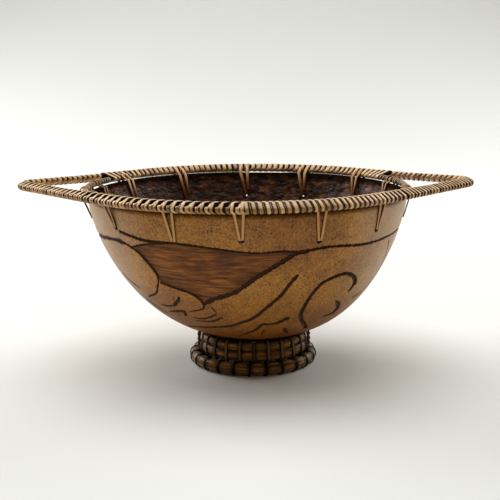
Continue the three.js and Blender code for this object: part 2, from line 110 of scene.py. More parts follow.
short_cuts = [
    (0.5, 1.0, 0.6, 0.4, [(-47, 39.5), (-42, 39.5), (-35, 38)]),
    (0.6, 1.6, 0.8, 0.4, [(-37, 38), (-33, 36), (-31, 34)]),
    (0.6, 1.5, 1.6, 0.4, [(-45, 42.5), (-34, 40.8), (-35, 43)]),
    (0.5, 1.1, 0.7, 0.4, [(-31, 43.5), (-25.5, 43.5), (-20, 42), (-16.5, 40.5)]),
    (0.5, 1.2, 1.1, 0.4, [(-30.5, 45), (-22, 44.5), (-18, 43.5), (-14.5, 42)]),
    (0.4, 0.6, 0.4, 0.3, [(-17.5, 37), (-16, 39.5)]),
    (0.6, 1.3, 0.7, 0.4, [(18, 48), (19, 49.5), (23, 52)]),
    (0.4, 0.6, 0.4, 0.3, [(6, 48.5), (5, 52)]),
    (0.6, 1.3, 0.6, 0.4, [(-66, 29.3), (-62, 31.5), (-56, 34)]),
    (0.6, 1.3, 0.6, 0.4, [(-59, 38.3), (-56, 41), (-50, 44.5)]),
    (0.5, 1.0, 0.5, 0.4, [(74, 41), (68, 44.6), (60, 46)]),
]
ragged_lines = [upper_line, leaf_top, ground_slope]
cut_lines = [*ragged_lines, leaf, ground_top, small_leaf, stem, low_stem, scroll, scroll_tip, scroll_eye,
             right_line, *short_cuts]
# Outline of the sunk ground, in the same measures
sunk_ground = [(-43.5, 15), (-36, 12.7), (-25, 11.6), (-13, 12.6), (-2.5, 14.1), (4.5, 14.5), (12, 14.2),
               (19, 14.6), (16, 15.5), (12, 18), (3, 24), (1, 25.5), (-6, 30.5), (-14.5, 33.5), (-20, 36),
               (-22, 33.5), (-25, 31.5), (-29, 30.5), (-37, 28.5), (-37, 26), (-38, 22.5), (-41, 18)]
ground_depth, ground_slant = 0.6 * mm, 0.7 * mm
carving_start = -100  # degrees; the carving fills half a turn from here, and again on the back


def smooth_line(points, steps):
    """Catmull-Rom curve through the points, and how far along it each sample stands, from 0 to 1."""
    p = np.array(points, float)
    p = np.vstack([2 * p[0] - p[1], p, 2 * p[-1] - p[-2]])
    t = np.linspace(0, 1, steps, endpoint=False)[:, None]
    runs = []
    for a, b, c, d in zip(p[:-3], p[1:-2], p[2:-1], p[3:]):
        runs.append(0.5 * (2 * b + (c - a) * t + (2 * a - 5 * b + 4 * c - d) * t**2
                           + (3 * b - a - 3 * c + d) * t**3))
    line = np.vstack([*runs, p[-2:-1]])
    return line, np.linspace(0, 1, len(line))


def search_tree(points):
    """Tree that finds the nearest of the points."""
    tree = kdtree.KDTree(len(points))
    for i, point in enumerate(points):
        tree.insert(point, i)
    tree.balance()
    return tree


# Each cut is a fifth wider and deeper than listed. Its width changes at these shares of its run, and it
# wavers, most of all on the ragged lines
line_samples = 60
swell_run = [0, 0.2, 0.75, 1]
cut_gain, waver_share, waver_scale, waver_seed = 1.2, 0.5, 1.3, 7.0
ragged_gain, ragged_least = 2.2, -0.7
line_places, line_halves, line_depths = [], [], []
for number, (start, middle, end, depth, points) in enumerate(cut_lines):
    line, share = smooth_line(points, line_samples)
    waver = np.array([noise.noise((a * waver_scale, d * waver_scale, waver_seed)) for a, d in line])
    if number < len(ragged_lines):
        waver = np.maximum(ragged_gain * waver, ragged_least)
    width = np.interp(share, swell_run, [start, middle, middle, end]) * (cut_gain + waver_share * waver)
    line_places.append(on_nut(np.radians(line[:, 0]), line[:, 1] * mm))
    line_halves.append(width * mm / 2)
    line_depths.append(np.full(len(line), cut_gain * depth * mm))
line_places = np.vstack(line_places)
line_halves = np.concatenate(line_halves)
line_depths = np.concatenate(line_depths)
line_tree = search_tree(line_places)

ground_line = np.array(sunk_ground + sunk_ground[:1], float)
ground_line = np.vstack([np.linspace(a, b, line_samples, endpoint=False)
                         for a, b in zip(ground_line[:-1], ground_line[1:])])
ground_tree = search_tree(on_nut(np.radians(ground_line[:, 0]), ground_line[:, 1] * mm))


def in_ground(degrees, drop):
    """Which points lie in the sunk ground."""
    inside = np.zeros(len(degrees), bool)
    corners = [(a, d * mm) for a, d in sunk_ground]
    for (a0, d0), (a1, d1) in zip(corners, corners[1:] + corners[:1]):
        crosses = (d0 > drop) != (d1 > drop)
        at = a0 + (drop - d0) / (d1 - d0 if d1 != d0 else 1.0) * (a1 - a0)
        inside ^= crosses & (degrees < at)
    return inside


def fold(degrees):
    """The same carving stands on the back, so an angle there is read from the front."""
    return (degrees - carving_start) % 180 + carving_start


def nut_place(points):
    """Angle in degrees and drop of points on the outside."""
    drop = rim_height - points[:, 2]
    x = points[:, 0] - nut_middle(drop)
    return np.degrees(np.arctan2(x, -points[:, 1])), drop


# The wall as a grid: up the outside, over the sawn edge and down the inside
columns = 320
skin_step, hollow_step = 1.25 * mm, 1.8 * mm
edge_drop = 1.4 * mm
edge = [(64.43, 0.8), (64.1, 0.2), (63.4, 0), (62, 0), (61.3, 0.2), (60.97, 0.8)]  # radius and drop in mm
skin = [(r, d) for r, d in zip(*nut_outline(0, skin_step)) if d > edge_drop and r > 0]
hollow = [(r, d) for r, d in zip(*nut_outline(nut_wall, hollow_step)) if d > edge_drop and r > 0]
rows = np.array(skin[::-1] + [(r * mm, d * mm) for r, d in edge] + hollow)
hollow_start = len(skin) + len(edge)
grid_radius, grid_drop = [np.repeat(measure, columns) for measure in rows.T]
grid_turn = np.tile(np.arange(columns) * 2 * math.pi / columns, len(rows))
grid = np.stack([grid_radius * np.sin(grid_turn) + nut_middle(grid_drop),
                 -grid_radius * np.cos(grid_turn), rim_height - grid_drop], -1)

# The sawn edge is not quite level: its rise in mm by the angle from the front, and how far down it reaches
rise_degrees = [0, 75, 105, 140, 160, 166, 180, 184, 225, 255, 285, 360]
rises = [0.42, 0.42, 0.45, 0.85, 0.9, 0.62, 0.62, 0.9, 0.88, 0.5, 0.42, 0.42]
rise_reach = 6 * mm


def edge_rise(degree):
    """Rise of the sawn edge at an angle from the front."""
    return np.interp(np.asarray(degree) % 360, rise_degrees, rises) * mm


grid[:, 2] += edge_rise(np.degrees(grid_turn)) * np.clip(1 - grid_drop / rise_reach, 0, 1)

# The hacked inside is uneven: broad gouges with finer nicks, as a share of the distance to the origin
gouge_scale, nick_scale = np.array([210, 210, 420]), np.array([620, 620, 900])
nick_share, gouge_share = 0.6, 0.0045
for i in range(hollow_start * columns, len(grid)):
    gouge = noise.noise(grid[i] * gouge_scale) + nick_share * noise.noise(grid[i] * nick_scale)
    grid[i] *= 1 - gouge_share * gouge

bottom = [(nut_middle(d), 0, rim_height - d) for d in (nut_depth, nut_depth - nut_wall)]
outer_bottom, inner_bottom = len(grid), len(grid) + 1
last_row = (len(rows) - 1) * columns
faces = []
for i in range(len(rows) - 1):
    for j in range(columns):
        k = (j + 1) % columns
        faces.append((i * columns + j, i * columns + k, (i + 1) * columns + k, (i + 1) * columns + j))
for j in range(columns):
    k = (j + 1) % columns
    faces.append((outer_bottom, k, j))
    faces.append((inner_bottom, last_row + j, last_row + k))
shell_mesh = bpy.data.meshes.new("carved_shell")
shell_mesh.from_pydata([*grid.tolist(), *bottom], [], faces)
skin_face, inside_face = 0, 1
for polygon in shell_mesh.polygons:
    on_skin = min(polygon.vertices) < (len(skin) + 1) * columns or outer_bottom in polygon.vertices
    polygon.material_index = skin_face if on_skin else inside_face

# Finer faces along the cuts and along the same cuts on the back
fine_reaches = (2.0 * mm, 1.3 * mm)
carving_top, fine_low, carving_low = 7 * mm, 55 * mm, 56 * mm
side_reach = 14 * mm
shell_form = bmesh.new()
shell_form.from_mesh(shell_mesh)
for reach in fine_reaches:
    near = []
    for face in shell_form.faces:
        middle = face.calc_center_median()
        low = rim_height - middle.z
        if face.material_index == skin_face and carving_top < low < fine_low:
            places = [middle]
            if abs(middle.y) < side_reach or middle.y > 0:
                places.append(Vector((2 * nut_middle(low) - middle.x, -middle.y, middle.z)))
            if any(tree.find(place)[2] < reach for tree in (line_tree, ground_tree) for place in places):
                near.append(face)
    edges = list(dict.fromkeys(e for f in near for e in f.edges))
    bmesh.ops.subdivide_edges(shell_form, edges=edges, cuts=1, use_grid_fill=True)
shell_form.to_mesh(shell_mesh)
shell_form.free()

# The carving pushes the skin in, and marks the cuts, the ground, its border darkened with stain and
# painted shade, and the sawn edge
stain_and_shade_reach, sawn_reach = 1.6 * mm, 1.6 * mm
points = np.zeros(len(shell_mesh.vertices) * 3)
shell_mesh.vertices.foreach_get("co", points)
points = points.reshape(-1, 3)
outside = np.zeros(len(points), bool)
for polygon in shell_mesh.polygons:
    if polygon.material_index == skin_face:
        outside[list(polygon.vertices)] = True
degrees, drop = nut_place(points)
carved = np.flatnonzero(outside & (drop > carving_top) & (drop < carving_low))
folded = fold(degrees[carved])
seen = on_nut(np.radians(folded), drop[carved])
groove = np.zeros(len(points))
sunk = np.zeros(len(points))
stain_and_shade = np.zeros(len(points))
cut = np.zeros(len(carved))
ground = in_ground(folded, drop[carved])
for n, (i, place) in enumerate(zip(carved, seen)):
    _, nearest, gap = line_tree.find(place)
    share = gap / line_halves[nearest]
    if share < 1:
        groove[i] = (1 - share**2) ** 2
        cut[n] = line_depths[nearest] * groove[i]
    if ground[n]:
        border_gap = ground_tree.find(place)[2]
        rise = min(border_gap / ground_slant, 1)
        sunk[i] = rise * rise * (3 - 2 * rise)
        cut[n] = max(cut[n], ground_depth * sunk[i])
        stain_and_shade[i] = math.exp(-border_gap / stain_and_shade_reach)
points[carved] = on_nut(np.radians(degrees[carved]), drop[carved], cut)
sawn = np.clip(1 - drop / sawn_reach, 0, 1) ** 0.5
shell_mesh.vertices.foreach_set("co", points.ravel())
for name, values in (("groove", groove), ("sunk", sunk), ("stain_and_shade", stain_and_shade), ("sawn", sawn)):
    shell_mesh.attributes.new(name, "FLOAT", "POINT").data.foreach_set("value", values)
shell_mesh.update()


def new_finish(name):
    """A new material and its shader."""
    finish = bpy.data.materials.new(name)
    finish.use_nodes = True
    return finish, finish.node_tree.nodes["Principled BSDF"]


def add_node(finish, kind, **settings):
    """A node of a finish, with values for its sockets or its settings."""
    node = finish.node_tree.nodes.new(kind)
    for key, value in settings.items():
        if key in node.inputs:
            node.inputs[key].default_value = value
        else:
            setattr(node, key, value)
    return node


def join(finish, output, socket):
    """Links an output to a socket."""
    finish.node_tree.links.new(output, socket)


def object_grain(finish, scale, detail, stretch=(1, 1, 1), rough=0.55):
    """Noise fixed to the piece; the bigger its stretch along an axis, the finer it is that way."""
    place = add_node(finish, "ShaderNodeTexCoord")
    pull = add_node(finish, "ShaderNodeMapping", Scale=stretch)
    grain = add_node(finish, "ShaderNodeTexNoise", Scale=scale, Detail=detail, Roughness=rough)
    join(finish, place.outputs["Object"], pull.inputs["Vector"])
    join(finish, pull.outputs["Vector"], grain.inputs["Vector"])
    return grain.outputs["Fac"]


def shades(finish, value, *steps):
    """Colours over a value, each step a place and a colour in linear light."""
    ramp = add_node(finish, "ShaderNodeValToRGB")
    marks = ramp.color_ramp.elements
    while len(marks) < len(steps):
        marks.new(0.5)
    for mark, (place, colour) in zip(marks, steps):
        mark.position = place
        mark.color = (*colour, 1)
    join(finish, value, ramp.inputs["Fac"])
    return ramp.outputs["Color"]


mix_share, mix_under, mix_top, mix_result = 0, 6, 7, 2  # sockets of a mix node that mixes colours


def over(finish, under, top, share, blend="MIX"):
    """Lays one colour over another by a share."""
    mix = add_node(finish, "ShaderNodeMix", data_type="RGBA", blend_type=blend)
    for source, number in ((share, mix_share), (under, mix_under), (top, mix_top)):
        socket = mix.inputs[number]
        if isinstance(source, (int, float)):
            socket.default_value = source
        elif isinstance(source, tuple):
            socket.default_value = (*source, 1)
        else:
            join(finish, source, socket)
    return mix.outputs[mix_result]


def attribute(finish, name):
    """A value marked at the points of the mesh."""
    return add_node(finish, "ShaderNodeAttribute", attribute_name=name).outputs["Fac"]


def relief(finish, shader, height, distance, strength):
    """Fine bumps in the surface from a height value."""
    bump = add_node(finish, "ShaderNodeBump", Strength=strength, Distance=distance)
    join(finish, height, bump.inputs["Height"])
    join(finish, bump.outputs["Normal"], shader.inputs["Normal"])


def band(finish, value, low, high, out_low=0.0, out_high=1.0):
    """Maps a value from one range to another."""
    span = add_node(finish, "ShaderNodeMapRange")
    for key, number in (("From Min", low), ("From Max", high), ("To Min", out_low), ("To Max", out_high)):
        span.inputs[key].default_value = number
    join(finish, value, span.inputs["Value"])
    return span.outputs["Result"]


def times(finish, first, second):
    """Product of two values."""
    product = add_node(finish, "ShaderNodeMath", operation="MULTIPLY")
    join(finish, first, product.inputs[0])
    join(finish, second, product.inputs[1])
    return product.outputs["Value"]


# The skin's finish: tan, in patches, mottles and grain, with dark specks
patch_shades = (0.36, (0.20, 0.064, 0.007)), (0.64, (0.57, 0.235, 0.033))
mottle_shades = (0.41, (0.14, 0.042, 0.005)), (0.59, (0.57, 0.250, 0.034))
grain_shades = (0.40, (0.09, 0.025, 0.004)), (0.60, (0.67, 0.315, 0.052))
mottle_share, grain_share = 0.4, 0.45
speck_brown = (0.07, 0.022, 0.006)
skin_finish, skin_shader = new_finish("carved_nut_skin")
grain = object_grain(skin_finish, 1500, 3, rough=0.7)
mottle = object_grain(skin_finish, 300, 5, rough=0.65)
patch = object_grain(skin_finish, 70, 4)
speck = object_grain(skin_finish, 950, 1, rough=0.3)
skin_colour = shades(skin_finish, patch, *patch_shades)
mottle_colour = shades(skin_finish, mottle, *mottle_shades)
skin_colour = over(skin_finish, skin_colour, mottle_colour, mottle_share)
grain_colour = shades(skin_finish, grain, *grain_shades)
skin_colour = over(skin_finish, skin_colour, grain_colour, grain_share)
dark_specks = band(skin_finish, speck, 0.70, 0.74, 0, 0.85)
skin_colour = over(skin_finish, skin_colour, speck_brown, dark_specks)

# One duller patch below the rim, right of the middle
dull_place, dull_core, dull_reach = (17 * mm, -61 * mm, 63 * mm), 6 * mm, 21 * mm
dull_tint = (0.70, 0.62, 0.66)
nut_coordinates = add_node(skin_finish, "ShaderNodeTexCoord")
from_dull = add_node(skin_finish, "ShaderNodeVectorMath", operation="DISTANCE")
from_dull.inputs[1].default_value = dull_place
join(skin_finish, nut_coordinates.outputs["Object"], from_dull.inputs[0])
dulled = band(skin_finish, from_dull.outputs["Value"], dull_core, dull_reach, 0.95, 0)
skin_colour = over(skin_finish, skin_colour, dull_tint, dulled, "MULTIPLY")

# Darker and browner towards the foot, painted shade where the bottom faces the shadowed floor; paler at
# the sides, a painted sheen where the flanks catch grazing reflection
low_shade_top, low_shade_bottom, low_shade_tint = 42 * mm, 13 * mm, (0.42, 0.26, 0.09)
sheen_start, sheen_end, sheen_low, sheen_high = 36 * mm, 66 * mm, 14 * mm, 36 * mm
sheen_tan = (0.66, 0.50, 0.34)
nut_axes = add_node(skin_finish, "ShaderNodeSeparateXYZ")
join(skin_finish, nut_coordinates.outputs["Object"], nut_axes.inputs["Vector"])
# Painted shade: the skin darker and browner towards the foot
low_shade_share = band(skin_finish, nut_axes.outputs["Z"], low_shade_top, low_shade_bottom)
skin_colour = over(skin_finish, skin_colour, low_shade_tint, low_shade_share, "MULTIPLY")
# Painted sheen: the flanks paler where they catch grazing reflection of the bright surroundings
sideways = add_node(skin_finish, "ShaderNodeMath", operation="ABSOLUTE")
join(skin_finish, nut_axes.outputs["X"], sideways.inputs[0])
painted_sheen = band(skin_finish, sideways.outputs["Value"], sheen_start, sheen_end, 0, 0.62)
painted_sheen = times(skin_finish, painted_sheen, band(skin_finish, nut_axes.outputs["Z"], sheen_low, sheen_high))
skin_colour = over(skin_finish, skin_colour, sheen_tan, painted_sheen)

# The sunk ground is streaked, and along its border darkened with stain and painted shade; the cuts are
# nearly black, and the sawn edge is nearly black with dirt and painted shade under the band
ground_shades = (0.30, (0.080, 0.029, 0.012)), (0.5, (0.245, 0.084, 0.021)), (0.70, (0.43, 0.165, 0.042))
ground_dark, border_stain_and_shade_dark = (0.06, 0.028, 0.016), (0.022, 0.010, 0.006)
cut_black, cut_brown, sawn_dirt_and_shade = (0.014, 0.007, 0.004), (0.060, 0.026, 0.013), (0.010, 0.006, 0.004)
sunk_share, cut_share, sawn_share = [attribute(skin_finish, key) for key in ("sunk", "groove", "sawn")]
streak = object_grain(skin_finish, 1, 5, stretch=(120, 120, 1100))
ground_colour = shades(skin_finish, streak, *ground_shades)
ground_patches = band(skin_finish, patch, 0.5, 0.68, 0, 0.6)
ground_colour = over(skin_finish, ground_colour, ground_dark, ground_patches)
skin_colour = over(skin_finish, skin_colour, ground_colour, sunk_share)
# Stain and painted shade: darker along the ground's border, where it meets its wall
border_stain_and_shade = band(skin_finish, attribute(skin_finish, "stain_and_shade"), 0, 1, 0, 0.8)
skin_colour = over(skin_finish, skin_colour, border_stain_and_shade_dark, border_stain_and_shade)
cut_walls = band(skin_finish, cut_share, 0.03, 0.3, 0, 0.95)
skin_colour = over(skin_finish, skin_colour, cut_black, cut_walls)
cut_floor = band(skin_finish, cut_share, 0.45, 0.9, 0, 0.7)
skin_colour = over(skin_finish, skin_colour, cut_brown, cut_floor)
# Dirt and painted shade: the sawn edge and the skin just below it nearly black under the band
skin_colour = over(skin_finish, skin_colour, sawn_dirt_and_shade, sawn_share)
join(skin_finish, skin_colour, skin_shader.inputs["Base Color"])

# Polish on the skin, little of it in the ground and towards the foot, none in the cuts
ground_gloss, low_gloss = (0.08, 0.08, 0.08), (0.10, 0.10, 0.10)
join(skin_finish, band(skin_finish, mottle, 0.3, 0.7, 0.36, 0.52), skin_shader.inputs["Roughness"])
unpolished = over(skin_finish, cut_share, sawn_share, 0.5)
gloss = band(skin_finish, unpolished, 0, 0.2, 0.28, 0.03)
gloss = over(skin_finish, gloss, ground_gloss, sunk_share)
gloss = over(skin_finish, gloss, low_gloss, low_shade_share)
join(skin_finish, gloss, skin_shader.inputs["Specular IOR Level"])
skin_relief = over(skin_finish, grain, streak, sunk_share)
relief(skin_finish, skin_shader, skin_relief, 0.2 * mm, 0.6)

# The inside's finish: dark fibres with redder flecks, and soot over them
fleck_shades = (0.36, (0.016, 0.008, 0.005)), (0.5, (0.068, 0.024, 0.011)), (0.66, (0.27, 0.092, 0.033))
soot_black = (0.017, 0.011, 0.008)
inside_finish, inside_shader = new_finish("blackened_inside")
fibre = object_grain(inside_finish, 1, 5, stretch=(330, 330, 520))
fleck = object_grain(inside_finish, 1, 4, stretch=(260, 260, 420))
soot = object_grain(inside_finish, 60, 3)
inside_sawn = attribute(inside_finish, "sawn")
inside_colour = shades(inside_finish, fleck, *fleck_shades)
soot_share = band(inside_finish, soot, 0.42, 0.66, 0, 0.7)
inside_colour = over(inside_finish, inside_colour, soot_black, soot_share)
# Dirt and painted shade: the top of the inside nearly black under the band
inside_colour = over(inside_finish, inside_colour, sawn_dirt_and_shade, inside_sawn)
join(inside_finish, inside_colour, inside_shader.inputs["Base Color"])
inside_gloss = band(inside_finish, inside_sawn, 0, 0.5, 0.28, 0.0)
join(inside_finish, inside_gloss, inside_shader.inputs["Specular IOR Level"])
join(inside_finish, band(inside_finish, fibre, 0.3, 0.7, 0.3, 0.6), inside_shader.inputs["Roughness"])
relief(inside_finish, inside_shader, fibre, 1.6 * mm, 0.8)

shell_mesh.materials.append(skin_finish)
shell_mesh.materials.append(inside_finish)
shell = bpy.data.objects.new("carved_coconut_shell", shell_mesh)
bpy.context.scene.collection.objects.link(shell)

# Holes below the rim for the lashings, at (degrees, mm below the rim), and through the bottom for the ties
lashing_holes = [(-2, 9.4), (24, 10.7), (49.4, 9.5), (80, 9.6), (106, 10), (128, 10.2), (155, 9), (181, 9.2),
                 (209, 10.3), (237.5, 10.4), (259, 10), (277, 9.6), (309.5, 8), (335.3, 10.7)]
hole_radius = 1.25 * mm
tie_angles = [82.5, 97.5, 262.5, 277.5]
tie_radii = (18.1 * mm, 22.9 * mm)
tie_hole, tie_hole_height = 0.95 * mm, 16 * mm
base_centre, hoop_centre = 2.4 * mm, 2.8 * mm  # how far right of the rim's middle the foot stands
drill_length, drill_sides = 4 * nut_wall, 16
sharp_angle = math.radians(50)


def outward(angle):
    """Level direction at an angle from the front."""
    return np.array([math.sin(angle), -math.cos(angle), 0.0])


def hole_place(degree, drop, inset):
    """Middle of a lashing hole at a depth below the skin."""
    radius = nut_radius(drop, inset)
    return outward(math.radians(degree)) * radius + np.array([nut_middle(drop), 0, rim_height - drop])


def drill_hole(drills, at, way, radius):
    """Adds a drill through a place, lying along a way."""
    place = Matrix.Translation(at) @ Vector(way).to_track_quat("Z", "Y").to_matrix().to_4x4()
    bmesh.ops.create_cone(drills, cap_ends=True, segments=drill_sides, radius1=radius, radius2=radius,
                          depth=drill_length, matrix=place)


drills = bmesh.new()
for degree, hole_drop in lashing_holes:
    middle = hole_place(degree, hole_drop * mm, nut_wall / 2)
    drill_hole(drills, middle, outward(math.radians(degree)), hole_radius)
for degree in tie_angles:
    for radius in tie_radii:
        foot_place = outward(math.radians(degree)) * radius + np.array([hoop_centre, 0, tie_hole_height])
        drill_hole(drills, foot_place, (0, 0, 1), tie_hole)
drill_mesh = bpy.data.meshes.new("drills")
drills.to_mesh(drill_mesh)
drills.free()
drill_mesh.materials.append(skin_finish)
drill_mesh.materials.append(inside_finish)
for polygon in drill_mesh.polygons:
    polygon.material_index = inside_face
drill = bpy.data.objects.new("drills", drill_mesh)
bpy.context.scene.collection.objects.link(drill)
bore = shell.modifiers.new("holes", "BOOLEAN")
bore.operation = "DIFFERENCE"
bore.solver = "EXACT"
bore.object = drill
ready = shell.evaluated_get(bpy.context.evaluated_depsgraph_get())
drilled_mesh = bpy.data.meshes.new_from_object(ready)
shell.modifiers.clear()
shell.data = drilled_mesh
bpy.data.objects.remove(drill)
shell.data.shade_smooth()
shell.data.set_sharp_from_angle(angle=sharp_angle)
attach(shell, "root")
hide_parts("coconut_shell")

# Rim canes
# Three thin round canes: a ring on the shell's edge, and a pair side by side that follows it and runs
# out into the two pointed handles, each bent to one closed hoop. They are dark with age and handling,
# near black as a painted shade in the gaps, and show only between the turns of the binding.
ring_cane, inner_cane, outer_cane = 0.7 * mm, 0.8 * mm, 0.9 * mm
ring_radius, ring_height, ring_rise = 64.4 * mm, 72.9 * mm, 0.4 * mm
inner_place = (65.5 * mm, 74.4 * mm)
outer_place = (67.15 * mm, 72.95 * mm)
pair_radius = 66.29 * mm
tip_centre = 82.7 * mm
tip_radius = 7.7 * mm
arm_angle = math.acos((pair_radius - tip_radius) / tip_centre)
back_start, back_span = 0.2, 0.6  # shares of the radius to the back between which the ring rises
handle_root = 56 * mm
handle_lift, lift_run, lift_most = 0.9 * mm, 30 * mm, 1.2
inner_drop, drop_run = 0.5 * mm, 14 * mm
ring_steps, hoop_step, least_step = 240, 1.6 * mm, 0.05 * mm


def ring_level(angle):
    """The ring stands a little off the sawn edge at the back, where light shows under it."""
    return ring_height + ring_rise * np.clip(-math.cos(angle) - back_start, 0, back_span) / back_span


def handle_rise(place):
    """The handles bend up a little towards their tips."""
    return handle_lift * np.clip((abs(place[0]) - handle_root) / lift_run, 0, lift_most)


def inner_fall(place):
    """In the handles the inner cane lies lower against the outer one."""
    return inner_drop * np.clip((abs(place[0]) - handle_root) / drop_run, 0, 1)


def handle_hoop(offset, spacing):
    """Plan of the pair round both handles, moved out by an offset, with its outward directions."""
    arcs = [(-math.pi / 2 + arm_angle, math.pi / 2 - arm_angle, 0, pair_radius),
            (math.pi / 2 - arm_angle, math.pi / 2 + arm_angle, tip_centre, tip_radius),
            (math.pi / 2 + arm_angle, 1.5 * math.pi - arm_angle, 0, pair_radius),
            (1.5 * math.pi - arm_angle, 1.5 * math.pi + arm_angle, -tip_centre, tip_radius)]
    places, ways = [], []
    for start, end, centre, radius in arcs:
        for angle in np.linspace(start, end, max(3, round((end - start) * radius / spacing))):
            places.append(np.array([centre, 0, 0]) + outward(angle) * (radius + offset))
            ways.append(outward(angle))
    full, full_ways = [], []
    for i, (place, way) in enumerate(zip(places, ways)):
        ahead, way_ahead = places[(i + 1) % len(places)], ways[(i + 1) % len(ways)]
        steps = max(1, round(np.linalg.norm(ahead - place) / spacing))
        for s in range(steps):
            full.append(place + (ahead - place) * s / steps)
            full_ways.append(way + (way_ahead - way) * s / steps)
    keep = [i for i in range(len(full)) if np.linalg.norm(full[i] - full[i - 1]) > least_step]
    return [full[i] for i in keep], [full_ways[i] / np.linalg.norm(full_ways[i]) for i in keep]


def add_piece(name, places, faces, finish, **marks):
    """A smooth mesh piece, with named values at its points for its finish to read."""
    mesh = bpy.data.meshes.new(name)
    mesh.from_pydata([tuple(p) for p in places], [], faces)
    for key, values in marks.items():
        values = np.asarray(values, float)
        kind = "FLOAT_VECTOR" if values.ndim == 2 else "FLOAT"
        mark = mesh.attributes.new(key, kind, "POINT")
        mark.data.foreach_set("vector" if values.ndim == 2 else "value", values.ravel())
    mesh.materials.append(finish)
    mesh.shade_smooth()
    piece = bpy.data.objects.new(name, mesh)
    bpy.context.scene.collection.objects.link(piece)
    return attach(piece, "root")


def tube_faces(stations, sides, closed):
    """Faces of a tube whose points go round it station by station, closed to a hoop or capped."""
    faces = []
    for i in range(stations if closed else stations - 1):
        n = (i + 1) % stations
        for k in range(sides):
            m = (k + 1) % sides
            faces.append((i * sides + k, i * sides + m, n * sides + m, n * sides + k))
    if not closed:
        faces.append(tuple(range(sides))[::-1])
        faces.append(tuple((stations - 1) * sides + k for k in range(sides)))
    return faces


def bent_cane(name, centres, ways, radii, finish, sides=14, tall=1.0):
    """Cane bent to a closed hoop in a level plan, with its radius at each station and its height."""
    places, grains, run = [], [], 0.0
    for i, (centre, way, radius) in enumerate(zip(centres, ways, radii)):
        run += np.linalg.norm(centre - centres[i - 1]) if i else 0
        for k in range(sides):
            out, up = math.cos(2 * math.pi * k / sides), -math.sin(2 * math.pi * k / sides)
            places.append(centre + radius * (out * way + up * tall * np.array([0, 0, 1.0])))
            grains.append((radius * out, radius * up, run))
    return add_piece(name, places, tube_faces(len(centres), sides, True), finish, grain=grains)


def strip_grain(finish, scale, detail, stretch):
    """Noise that follows a cane or a strip along its length."""
    lie = add_node(finish, "ShaderNodeAttribute", attribute_name="grain")
    pull = add_node(finish, "ShaderNodeMapping", Scale=stretch)
    grain = add_node(finish, "ShaderNodeTexNoise", Scale=scale, Detail=detail)
    join(finish, lie.outputs["Vector"], pull.inputs["Vector"])
    join(finish, pull.outputs["Vector"], grain.inputs["Vector"])
    return grain.outputs["Fac"]


cane_finish, cane_shader = new_finish("dark_rim_cane")
cane_lines = strip_grain(cane_finish, 1, 3, (3000, 3000, 120))
# Dark with age, and near black as painted shade in the gaps between the turns of the binding
cane_colour = shades(cane_finish, cane_lines, (0.3, (0.005, 0.003, 0.002)), (0.7, (0.020, 0.010, 0.005)))
join(cane_finish, cane_colour, cane_shader.inputs["Base Color"])
cane_shader.inputs["Roughness"].default_value = 0.7
cane_shader.inputs["Specular IOR Level"].default_value = 0.08
relief(cane_finish, cane_shader, cane_lines, 0.1 * mm, 0.5)

ring_angles = np.linspace(0, 2 * math.pi, ring_steps, endpoint=False)
ring_ways = [outward(a) for a in ring_angles]
ring_centres = [outward(a) * ring_radius + np.array([0, 0, ring_level(a)]) for a in ring_angles]
ring = bent_cane("rim_ring_cane", ring_centres, ring_ways, [ring_cane] * ring_steps, cane_finish)
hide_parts("rim_ring")
for name, node, (radius, height), thick, falls in (
    ("inner_handle_cane", "handle_inner_cane", inner_place, inner_cane, 1),
    ("outer_handle_cane", "handle_outer_cane", outer_place, outer_cane, 0),
):
    plan, ways = handle_hoop(radius - pair_radius, hoop_step)
    levels = [height + handle_rise(place) - falls * inner_fall(place) for place in plan]
    centres = [place + np.array([0, 0, level]) for place, level in zip(plan, levels)]
    hoop = bent_cane(name, centres, ways, [thick] * len(plan), cane_finish)
    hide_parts(node)

# Bindings
# Split rattan, skin side out, wound without a break: over all three canes at the front and the back, over
# the pair round each handle and over the ring alone between a handle's arms. At the left front every other
# turn dips between the canes; at the right front narrow turns lie between wide ones; the back has wide ones.
strip_thickness = 0.56 * mm
strip_out = strip_thickness / 2
turn_slip, width_range = 0.1 * mm, (0.87, 1.13)
fork_angle, back_fork = math.radians(59.5), math.radians(66)
fork_gap = math.radians(0.5)
chance = random.Random(4)
# How far a turn leans to the right in mm, by the way it faces: 0 outwards, 90 up, 180 to the bowl
lean_facing = [-110, -60, -20, 25, 50, 72, 110, 170, 215, 250]
left_lean = [1.5, 0.9, 0.2, 0, 0.3, 1.0, 1.8, 2.6, 2.9, 1.5]
right_lean = [0, 0.1, 0, -0.2, -0.55, -1.4, -1.8, -2.1, -1.1, 0]
upright = [0] * len(lean_facing)
lean_swing = 3  # how fast the lean turns over where the rim passes from the front to the back
# Windings: pitch and lean, then the turns in a pitch: place, width, depth in mm, whether it dips, tones
left_rim = (3.45, left_lean, [(0.2, 1.5, 0, True, (0.2, 1)), (0.63, 1.3, 0, False, (0.45, 1))])
right_rim = (2.4, right_lean, [(0.3, 1.6, 0, False, (0.4, 1)), (0.84, 0.55, 0.3, False, (0, 0.25))])
back_rim = (2.7, upright, [(0.5, 2.1, 0, False, (0.3, 1))])
back_rim_left = (2.7, left_lean, [(0.5, 2.1, 0, False, (0.3, 1))])
left_handle = (3.0, left_lean, [(0.2, 1.15, 0, True, (0.3, 1)), (0.62, 1.0, 0, False, (0.5, 1))])
right_handle = (2.05, right_lean, [(0.5, 1.22, 0, False, (0.4, 1))])
right_handle_back = (2.6, upright, [(0.5, 1.95, 0, False, (0.4, 1))])
left_handle_back = (2.6, left_lean, [(0.5, 1.95, 0, False, (0.3, 1))])
ring_end = (2.1, upright, [(0.5, 1.25, 0, False, (0.2, 1))])


